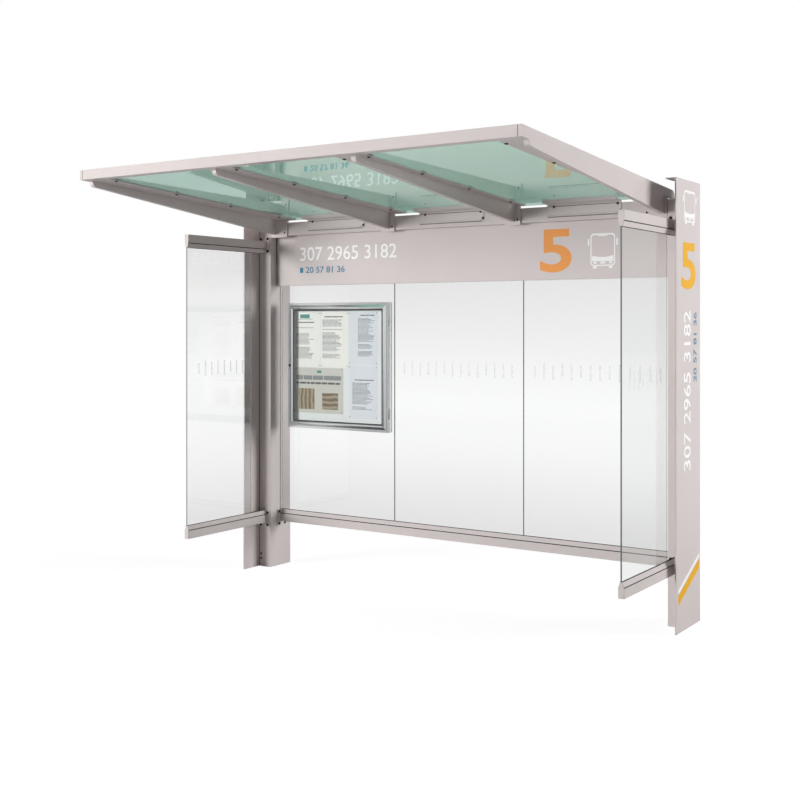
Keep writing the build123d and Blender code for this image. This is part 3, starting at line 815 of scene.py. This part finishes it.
class SHELTER_OT_seals(bpy.types.Operator):
    """Add the joints between panes and around the roof glass"""
    bl_idname = "shelter.seals"
    bl_label = "Pane seals"

    def execute(self, context):
        """Each joint is a bar a little shallower than the glass, with its two faces hollowed."""
        s, foot, shallower = context.scene.shelter_sizes, 0.014, 0.0008
        for first, second in zip(BAYS, BAYS[1:]):
            (_, y0, low), (x0, y1, high) = corners("back_glass_" + first)
            x1 = side_x("back_glass_" + second, -1)
            outline = self.joint(x1 - x0, y1 - y0 - shallower)
            ends = [((x0 + x1) / 2, (y0 + y1) / 2, z) for z in (low + foot, high)]
            piece(f"back_joint_{first}", bar(outline, *ends, (1, 0, 0), (0, 1, 0)), "silicone")
            self.roof_joint(first, side_x("roof_glass_" + first, 1), side_x("roof_glass_" + second, -1))
        left, right = side_x("roof_glass_left", -1), side_x("roof_glass_right", 1)
        self.roof_joint("rim_left", side_x("roof_rim_left", 1), left)
        self.roof_joint("rim_right", right, side_x("roof_rim_right", -1))
        (x0, y0, z0), high = corners("roof_fascia")
        ends = [(x, (high[1] + GLASS_LOW[1]) / 2, roof_top(high[1]) - s.roof_pane / 2) for x in (left, right)]
        outline = self.joint(GLASS_LOW[1] - high[1], SEAL_DEPTH)
        piece("roof_joint_front", bar(outline, *ends, (0, 1, 0)), "rubber")
        half, proud, deep, foot, head = 0.0014, 0.0002, 0.002, 0.002, 0.003
        seams = [box_shape((x - half, y0 - proud, z0 + foot), (x + half, y0 + deep, high[2] - head))
                 for x in (x0, high[0])]
        piece("roof_seams", joined(seams), "rubber")
        return {"FINISHED"}

    def joint(self, width, depth):
        """Outline across a joint: half the depth, less a hollow of 1 - (2u)^2 over the width u."""
        u, hollow = np.linspace(-0.5, 0.5, 5), 0.0007
        face = depth / 2 - hollow * (1 - (2 * u) ** 2)
        return np.concatenate([np.stack([u * width, -face], 1), np.stack([u[::-1] * width, face], 1)])

    def roof_joint(self, name, x0, x1):
        """Joint along the fall of the roof between two edges, nearly as thick as the glass."""
        ends = [((x0 + x1) / 2, y, roof_top(y) - SEAL_DROP) for y in (GLASS_LOW[1], GLASS_HIGH[1])]
        piece(f"roof_joint_{name}", bar(self.joint(x1 - x0, SEAL_DEPTH), *ends, (1, 0, 0)), "rubber")


class SHELTER_OT_header_marks(bpy.types.Operator):
    """Add plain numerals and a bus pictogram to the header's sign panel"""
    bl_idname = "shelter.header_marks"
    bl_label = "Header marks"

    def execute(self, context):
        """Each mark stands at a place across from the middle and up from the panel's foot."""
        for name, shape, across, up, film_name in (
                ("number", numerals("307 2965 3182", 0.785, 0.092, 0.006), -1.205, 0.165, "white_film"),
                ("small_number", numerals("20 57 81 36", 0.325, 0.042, 0.012), -1.157, 0.082, "blue_film"),
                ("square", one_face(rounded_box(0.028, 0.036, 0.006, (0, 0.020), 4)), -1.193, 0.082,
                 "blue_film"),
                ("bay_number", numerals("5", 0.205, 0.254, 0.022), 0.602, 0.042, "orange_film"),
                ("bus", bus_pictogram(0.190, 0.202), 1.002, 0.058, "white_film")):
            place = (MIDDLE + across, SIGN_LOW[1] - LIFT, SIGN_LOW[2] + up)
            piece("header_" + name, film(shape, facing((0, -1, 0)), place), film_name, smooth=20)
        return {"FINISHED"}


class SHELTER_OT_blade_marks(bpy.types.Operator):
    """Add numerals, a bus pictogram and stripes to the blades' outer faces"""
    bl_idname = "shelter.blade_marks"
    bl_label = "Blade marks"

    def execute(self, context):
        """Across runs to the reader's right on each outer face: back on the right side, front on the left.

        The long numbers read upwards. The two straight slanting stripes near the foot are four-sided."""
        x, rise, middle = (-0.150, 0.176, 0.176, -0.150), 0.150, FRONT + 0.0225
        stripes = [one_face(np.stack([x, (foot, foot + rise, foot + rise + thick, foot + thick)], 1))
                   for foot, thick in ((0.150, 0.050), (0.210, 0.022))]
        for side, out in SIDES.items():
            level, upright = facing((out, 0, 0)), facing((out, 0, 0), (0, -out, 0))
            for name, shape, across, up, film_name, turn in (
                    ("bus", bus_pictogram(0.215, 0.185), 0.025, 2.203, "white_film", level),
                    ("bay_number", numerals("5", 0.225, 0.254, 0.022), -0.105, 1.850, "yellow_film", level),
                    ("number", numerals("307 2965 3182", 0.870, 0.104, 0.008), 0.040, 0.862, "white_film",
                     upright),
                    ("small_number", numerals("20 57 81 36", 0.385, 0.050, 0.012), 0.135, 1.340, "blue_film",
                     upright),
                    ("stripe", stripes[0], 0.0, 0.0, "yellow_film", level),
                    ("stripe_edge", stripes[1], 0.0, 0.0, "white_film", level)):
                place = (side_x("blade_" + side, out) + out * LIFT, middle + out * across, up)
                piece(f"blade_{name}_{side}", film(shape, turn, place), film_name, smooth=20)
        return {"FINISHED"}


class SHELTER_OT_dashes(bpy.types.Operator):
    """Add rows of frosted dashes to the back and side panes"""
    bl_idname = "shelter.dashes"
    bl_label = "Glass dashes"

    def execute(self, context):
        """One row on the front of each back pane and on the inner face of each side pane."""
        s = context.scene.shelter_sizes
        for bay in BAYS:
            low, high = corners("back_glass_" + bay)
            self.row(s, bay, low[0] + 0.03, high[0] - 0.03, lambda a, y=low[1] - LIFT: (a, y), (0, -1, 0))
        for side, out in SIDES.items():
            low, high = corners("side_glass_" + side)
            x = side_x("side_glass_" + side, -out) - out * LIFT
            self.row(s, "side_" + side, low[1] + 0.05, high[1] - 0.03, lambda a, x=x: (x, a), (-out, 0, 0))
        return {"FINISHED"}

    def row(self, s, name, start, end, place, normal):
        """Dashes stand at half-integer multiples of the pitch about the row's middle.

        The height of dash k is middling * (0.72 + 0.28 |sin(1.9 k)|), and its middle moves by a third of
        what it lacks of the middling height, times sin(2.7 k)."""
        count = int((end - start) / s.dash_pitch)
        k = np.arange(count)
        along = (start + end) / 2 + (k - (count - 1) / 2) * s.dash_pitch
        tall = s.dash_height * (0.72 + 0.28 * np.abs(np.sin(1.9 * k)))
        middle = s.dash_level + 0.33 * (s.dash_height - tall) * np.sin(2.7 * k)
        outline = rounded_box(s.dash_width, 1.0, 0.004, steps=3)
        shapes = []
        for a, h, m in zip(along, tall, middle):
            up = np.sign(outline[:, 1]) * (h / 2 - 0.5 + np.abs(outline[:, 1]))
            shapes.append(film(one_face(np.c_[outline[:, 0], up]), facing(normal), (*place(a), m)))
        piece("glass_dashes_" + name, joined(shapes), "glass_print", smooth=20)


class SHELTER_OT_notice_case(bpy.types.Operator):
    """Add the notice case's swept door frame, its gasket, its lining and the lock's face"""
    bl_idname = "shelter.notice_case"
    bl_label = "Notice case"

    def execute(self, context):
        """The frame's section is given as points s inward and h forward of the door's back.

        The crown's height is depth - rise |u|^1.3, where u runs from -1 at its outer edge over 0 at its
        ridge to 1 at its inner edge."""
        s = context.scene.shelter_sizes
        depth = CASE_HIGH[1] - CASE_LOW[1]
        border, step = s.flange_width, 0.0138            # flat outer border, and how far forward it stands
        start, end, inner = border + 0.0040, 0.0465, 0.0480
        seat = depth - 0.0118                            # where the glass's gasket sits
        ridge = start + 0.6 * (end - start)
        u = np.linspace(-1, 1, 15)
        across = ridge + np.where(u < 0, u * (ridge - start), u * (end - ridge))
        crown = np.stack([across, depth - s.crown_rise * np.abs(u) ** 1.3], 1)
        section = np.concatenate([
            [[0, 0], [0, 0.0125], [0.0012, step], [border - 0.0010, step], [border, 0.0130],
             [border + 0.0004, 0.0080], [start - 0.0004, 0.0080]],
            crown,
            [[inner, depth - s.crown_rise - 0.0010], [inner, seat], [0.0400, seat], [0.0400, 0]]])
        self.swept("case_frame", section, "case_aluminium", replaces=("case_door_frame",))
        lip = [[0.0474, seat], [0.0474, seat + 0.0024], [0.0486, seat + 0.0030], [0.0520, seat + 0.0014],
               [0.0522, seat]]
        self.swept("case_gasket", np.array(lip), "rubber")
        self.lining()
        self.back_film()
        self.lock_face()
        return {"FINISHED"}

    def back_film(self):
        """Pale film on the glass behind the tray."""
        width, height = TRAY_HIGH[0] - TRAY_LOW[0], TRAY_HIGH[2] - TRAY_LOW[2]
        outline = rounded_box(width, height, 0.004, (width / 2, height / 2))
        place = (TRAY_HIGH[0], corners("back_glass_left")[1][1] + LIFT, TRAY_LOW[2])
        piece("case_back_film", film(one_face(outline), facing((0, 1, 0)), place), "case_board", smooth=20)

    def lining(self, wall=0.003, thin=0.0004):
        """White film on the tray's four inner sides."""
        front, back = TRAY_LOW[1] + 0.001, corners("case_board")[0][1] - LIFT
        (x0, _, z0), (x1, _, z1) = TRAY_LOW + wall, TRAY_HIGH - wall
        sides = [box_shape((x, front, z0), (x + thin, back, z1)) for x in (x0, x1 - thin)]
        x0, x1 = x0 + 2 * thin, x1 - 2 * thin
        ends = [box_shape((x0, front, z), (x1, back, z + thin)) for z in (z0, z1 - thin)]
        piece("case_lining", joined(sides + ends), "case_board", smooth=20)

    def swept(self, name, section, material, replaces=()):
        """One section round the four corners, each stile with its own points so that mitres stay sharp.

        A point s inward and h forward lies at the corner's direction times half the width less s."""
        middle, half = (CASE_LOW + CASE_HIGH)[::2] / 2, (CASE_HIGH - CASE_LOW)[::2] / 2
        turns = np.array([(1, 1), (-1, 1), (-1, -1), (1, -1)], float)
        n = len(section)
        inset, rise = section[:, :1], section[:, 1]
        around = np.concatenate([[0], np.cumsum(np.linalg.norm(np.diff(section, axis=0), axis=1))])
        runs, uvs, faces = [], [], []
        for k in range(4):
            for turn in (turns[k], turns[(k + 1) % 4]):
                spot = turn * (half - inset)
                x, z = (middle + spot).T
                runs.append(np.stack([x, CASE_HIGH[1] - rise, z], 1))
                uvs.append(np.stack([spot[:, k % 2] + k * 1.7, around], 1))
            faces += (grid(2, n, close_columns=True) + 2 * k * n).tolist()
        shape = outward((np.concatenate(runs), faces))
        weld(piece(name, shape, material, DOOR, replaces=replaces, uv=np.concatenate(uvs)))

    def lock_face(self):
        """Keyway on the lock's face as a dark film of painted shade, and a collar round it that rises as a
        quarter of an ellipse.
        """
        low, high = corners("case_lock")
        middle = np.array([(low[0] + high[0]) / 2, low[1], (low[2] + high[2]) / 2])
        radius, t = (high[0] - low[0]) / 2, np.linspace(0, np.pi / 2, 5)
        bore, rim, back, front = radius * 1.02, radius * 1.45, -0.009, -0.003
        collar = np.concatenate([
            [[bore, back], [rim, back]],
            np.stack([radius * (1.12 + 0.33 * np.cos(t)), -0.0085 + 0.0055 * np.sin(t)], 1),
            [[bore, front]]])
        heads("case_lock_collar", lathe(collar, 32, ring=True), (0, -1, 0), [middle], "plain_steel", DOOR)
        # painted shade: the keyway is a dark film, not a slot
        keyway = one_face(rounded_box(0.0016, 0.0085, 0.0016 / 2.1, steps=4))
        slot = film(keyway, facing((0, -1, 0)), middle - (0, LIFT, 0), 0.0003)
        piece("case_keyway", slot, "rubber", DOOR, smooth=20)


def weld(made, distance=1e-6):
    """Merge points that lie on each other."""
    work = bmesh.new()
    work.from_mesh(made.data)
    bmesh.ops.remove_doubles(work, verts=work.verts, dist=distance)
    work.to_mesh(made.data)
    work.free()
    made.data.set_sharp_from_angle(angle=math.radians(30))


class SHELTER_OT_notices(bpy.types.Operator):
    """Replace the flat sheets by bowed paper with plain printed blocks and pins"""
    bl_idname = "shelter.notices"
    bl_label = "Notices"

    def execute(self, context):
        """Two sheets over a poster on the left, and a column of two sheets on the right, each pinned."""
        s = context.scene.shelter_sizes
        low, high = corners("case_notices")
        start, top, step = low[0] - s.sheet_shift, high[2], s.sheet_width + s.sheet_gap
        wide, tall, column, gap = s.sheet_width, s.sheet_height, s.column_height, s.sheet_gap
        middle, right, poster_shift = start + step, start + 2 * step, 0.009
        pins, near_edges = [], (0.03, 0.97)
        for index, (name, x0, z1, width, height, stock) in enumerate((
                ("paper_upper_left", start, top, wide, tall, "warm_paper"),
                ("paper_upper_middle", middle, top, wide, tall, "warm_paper"),
                ("paper_upper_right", right, top, wide, column, "cool_paper"),
                ("paper_lower_right", right, top - column - gap, wide, column, "cool_paper"),
                ("poster", start + poster_shift, top - tall - gap, s.poster_width, s.poster_height,
                 "poster_paper"))):
            paper = Sheet(x0, z1 - height, width, height, high[1], index)
            piece(name, paper.surface(), stock, replaces=("case_notices",))
            paper.prints(name)
            pins += [paper.at(u, v, 0.0006) for u in near_edges for v in near_edges]
        head = lathe([[0.0028, 0], [0.0030, 0.0006], [0.0024, 0.0018], [0.0010, 0.0024]], 12)
        heads("notice_pins", head, (0, -1, 0), pins)
        return {"FINISHED"}


class Sheet:
    """One sheet of paper: u across and v up, both 0 to 1.

    It stands off the board by gap + bow (1 - (2u - 1)^2)(0.55 + 0.45 cos(2 pi (v + phase))), so it
    touches near its pinned sides."""
    GAP, PAPER, PRINT = 0.0006, 0.0003, 0.00025     # off the board, paper's thickness, print over the paper

    def __init__(self, x0, z0, width, height, back, index):
        self.x0, self.z0, self.width, self.height, self.back = x0, z0, width, height, back
        self.bow = bpy.context.scene.shelter_sizes.sheet_bow * (1 + 0.25 * math.sin(2.3 * index))
        self.phase = 0.17 * index
        self.draw = np.random.default_rng(40 + index)

    def at(self, u, v, proud=0.0):
        """Points on the sheet's front, a little proud of it."""
        u, v = np.asarray(u, float), np.asarray(v, float)
        wave = 0.55 + 0.45 * np.cos(2 * np.pi * (v + self.phase))
        lift = self.GAP + self.bow * (1 - (2 * u - 1) ** 2) * wave
        return np.stack([self.x0 + u * self.width, self.back - lift - proud, self.z0 + v * self.height], -1)

    def surface(self, rows=25, columns=17):
        """The paper as a closed thin shell."""
        v, u = np.meshgrid(np.linspace(0, 1, rows), np.linspace(0, 1, columns), indexing="ij")
        front = self.at(u, v).reshape(-1, 3)
        n = rows * columns
        quads = grid(rows, columns)
        edge = np.concatenate([np.arange(columns), columns - 1 + columns * np.arange(1, rows),
                               n - 2 - np.arange(columns - 1), columns * np.arange(rows - 2, 0, -1)])
        rim = np.stack([edge, edge + n, np.roll(edge, -1) + n, np.roll(edge, -1)], 1)
        faces = quads.tolist() + (quads[:, ::-1] + n).tolist() + rim.tolist()
        return outward((np.concatenate([front, front + (0, self.PAPER, 0)]), faces))

    def block(self, u0, u1, v0, v1, across=4, up=3):
        """A printed rectangle that follows the sheet."""
        v, u = np.meshgrid(np.linspace(v0, v1, up), np.linspace(u0, u1, across), indexing="ij")
        return self.at(u, v, self.PRINT).reshape(-1, 3), grid(up, across).tolist()

    def words(self, u0, u1, v, height, count, gap=0.016):
        """A line of bars of uneven lengths with even gaps between them."""
        shares = 0.5 + self.draw.random(count)
        shares = shares / shares.sum() * (u1 - u0 - gap * (count - 1))
        starts = u0 + np.concatenate([[0], np.cumsum(shares[:-1] + gap)])
        return [self.block(a, a + b, v, v + height, 2, 2) for a, b in zip(starts, shares)]

    def prints(self, name):
        """Plain blocks: heading bars, rows of short bars of seeded lengths, flat shapes and pictures."""
        printed = {"ink": [], "grey_ink": [], "teal_ink": [], "picture_upright": [], "picture_level": []}
        if name == "poster":
            printed["grey_ink"] += self.words(0.03, 0.96, 0.735, 0.095, 4)
            printed["ink"] += self.words(0.03, 0.94, 0.640, 0.045, 8)
            printed["teal_ink"].append(self.block(0.47, 0.56, 0.885, 0.945))
            printed["picture_upright"].append(self.block(0.09, 0.42, 0.08, 0.54, 8, 8))
            printed["picture_level"].append(self.block(0.58, 0.90, 0.09, 0.45, 8, 8))
        else:
            left, right, top = {
                "paper_upper_left": (0.10, 0.78, 0.80), "paper_upper_middle": (0.06, 0.80, 0.90),
                "paper_upper_right": (0.32, 0.90, 0.92), "paper_lower_right": (0.12, 0.86, 0.72)}[name]
            if name == "paper_upper_left":
                printed["teal_ink"] += [self.block(0.26, 0.62, 0.885, 0.955),
                                        self.block(0.16, 0.72, 0.865, 0.873)]
            printed["ink"] += self.words(left + 0.08, right, top, 0.018, 3)
            level = top - 0.055
            while level > 0.14:
                chance = self.draw.random()
                if chance < 0.16:                        # a gap between two paragraphs
                    level -= 0.040
                    continue
                end = left + (right - left) * (0.60 + 0.40 * self.draw.random())
                kind = "ink" if chance > 0.80 else "grey_ink"
                printed[kind] += self.words(left, end, level, 0.0105, int(5 + 3 * self.draw.random()))
                level -= 0.0215
        for kind, shapes in printed.items():
            if shapes:
                piece(f"{name}_{kind}", joined(shapes), kind, smooth=20)


class SHELTER_OT_stage(bpy.types.Operator):
    """Add the floor, lamps, surroundings and camera"""
    bl_idname = "shelter.stage"
    bl_label = "Stage"

    def execute(self, context):
        """The lamps look at the middle of the shelter; the camera stands level and its view is shifted."""
        scene, stage = context.scene, context.scene.shelter_stage
        scene.view_settings.view_transform = "Standard"
        self.surroundings(scene, stage)
        self.floor(scene, stage)
        self.lamp(scene, "front", 236.0, 7.0, 5.0, stage.front)
        self.lamp(scene, "rear", 30.0, 10.0, 7.0, stage.rear)
        camera = bpy.data.objects.new("camera", bpy.data.cameras.new("camera"))
        scene.collection.objects.link(camera)
        camera.location = stage.eye
        camera.rotation_euler = (math.pi / 2, 0, stage.turn)
        camera.data.lens, camera.data.shift_y, camera.data.clip_end = stage.lens, stage.drop, 200
        scene.camera = camera
        return {"FINISHED"}

    def rays(self, tree, mirrored):
        """Three shares by the kind of ray: it shows the surroundings, at which level, and it is mirrored.

        It shows them until it leaves a matt surface. A mirrored ray is neither seen nor let through."""
        path = node(tree, "LightPath").outputs
        direct = worked(tree, "MAXIMUM", path["Is Camera Ray"], path["Is Transmission Ray"])
        shown = worked(tree, "MULTIPLY", worked(tree, "MAXIMUM", direct, path["Is Glossy Ray"]),
                       worked(tree, "LESS_THAN", path["Diffuse Depth"], 0.5))
        return shown, worked(tree, "MAXIMUM", direct, mirrored), worked(tree, "SUBTRACT", 1.0, direct)

    def surroundings(self, scene, stage):
        """White where seen, dim where it lights; gloss shows it whiter towards the upper right front."""
        world = scene.world = bpy.data.worlds.new("surroundings")
        world.use_nodes = True
        tree = world.node_tree
        light = tree.nodes["Background"]
        fill(tree, light, Color=(1, 0.995, 0.99, 1), Strength=stage.fill)
        shown, level, _ = self.rays(tree, stage.mirrored)
        direction = node(tree, "TexCoord").outputs["Generated"]
        bright = ramp(tree, dotted(tree, direction, (0.3, -0.3, 0.9)), -0.05, 0.3)
        white = node(tree, "Background", in_0=(1, 1, 1, 1), in_1=worked(tree, "MAXIMUM", bright, level))
        blended(tree, "World", shown, light, white)

    def floor(self, scene, stage):
        """Pale floor that looks nearly white, keeps a faint shadow and goes over to plain white far out.

        Gloss shows it grey, with painted shade: its glow is darker near the object."""
        mesh, sides, radius = bpy.data.meshes.new("floor"), 48, 60.0
        a = np.arange(sides) * 2 * np.pi / sides
        points = np.stack([MIDDLE + radius * np.cos(a), radius * np.sin(a), np.full(sides, -0.001)], 1)
        mesh.from_pydata(points.tolist(), [], [list(range(sides))])
        floor = bpy.data.objects.new("floor", mesh)
        scene.collection.objects.link(floor)
        material, tree, shader = blank("floor")
        fill(tree, shader, Base_Color=(0.8, 0.8, 0.8, 1), Roughness=0.9, Specular_IOR_Level=0.0)
        shown, level, mirror = self.rays(tree, stage.mirrored)
        away = node(tree, "VectorMath", operation="DISTANCE", in_0=object_place(tree),
                    in_1=(*AIM[:2], 0)).outputs["Value"]
        near, far = 3.0, 12.0
        seen = ramp(tree, away, near, far, 1.37, 1.0)
        # painted shade: for gloss the floor's glow drops from 1.2 far out to 0.2 near the object
        glossy = worked(tree, "MULTIPLY", ramp(tree, away, 2.0, 7.0, 0.20, 1.20), level)
        strength = node(tree, "Mix", data_type="FLOAT", in_0=mirror, in_2=seen, in_3=glossy).outputs[0]
        part = worked(tree, "MAXIMUM", ramp(tree, away, near, far, 0.65, 1.0), mirror)
        glow = node(tree, "Emission", in_1=strength)
        blended(tree, "Material", worked(tree, "MULTIPLY", shown, part), shader, glow)
        mesh.materials.append(material)

    def lamp(self, scene, name, turn, rise, size, power, reach=14.0):
        """Square area lamp on the shelter, from a turn about up (from +X) and a rise, in degrees."""
        data = bpy.data.lights.new(name, "AREA")
        data.size, data.energy = size, power
        made = bpy.data.objects.new(name, data)
        a, b = math.radians(turn), math.radians(rise)
        away = np.array([math.cos(b) * math.cos(a), math.cos(b) * math.sin(a), math.sin(b)])
        made.location = AIM + reach * away
        made.rotation_euler = (math.pi / 2 - b, 0, a + math.pi / 2)
        made.visible_camera = made.visible_glossy = made.visible_transmission = False
        scene.collection.objects.link(made)


class SHELTER_PT_panel(bpy.types.Panel):
    """Panel that lists the steps, sizes and colours"""
    bl_label = "Bus Shelter"
    bl_idname = "SHELTER_PT_panel"
    bl_space_type = "VIEW_3D"
    bl_region_type = "UI"
    bl_category = "Shelter"

    def draw(self, context):
        """One button a step, then the settings."""
        for step in STEPS:
            self.layout.operator(step.bl_idname)
        for group in SETTINGS:
            for name in SETTINGS[group].__annotations__:
                self.layout.prop(getattr(context.scene, group), name)


STEPS = (
    SHELTER_OT_finishes, SHELTER_OT_screws, SHELTER_OT_rails, SHELTER_OT_seals, SHELTER_OT_header_marks,
    SHELTER_OT_blade_marks, SHELTER_OT_dashes, SHELTER_OT_notice_case, SHELTER_OT_notices, SHELTER_OT_stage)
SETTINGS = {"shelter_sizes": ShelterSizes, "shelter_colours": ShelterColours, "shelter_stage": ShelterStage}
CLASSES = (*SETTINGS.values(), *STEPS, SHELTER_PT_panel)


def register():
    """Register the classes and hang the settings on the scene."""
    for kind in CLASSES:
        bpy.utils.register_class(kind)
    for group, kind in SETTINGS.items():
        setattr(bpy.types.Scene, group, bpy.props.PointerProperty(type=kind))


def unregister():
    """Take the settings and classes away again."""
    for group in SETTINGS:
        delattr(bpy.types.Scene, group)
    for kind in reversed(CLASSES):
        bpy.utils.unregister_class(kind)


def main():
    """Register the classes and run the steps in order."""
    register()
    for step in STEPS:
        group, name = step.bl_idname.split(".")
        getattr(getattr(bpy.ops, group), name)()


if __name__ == "__main__":
    main()
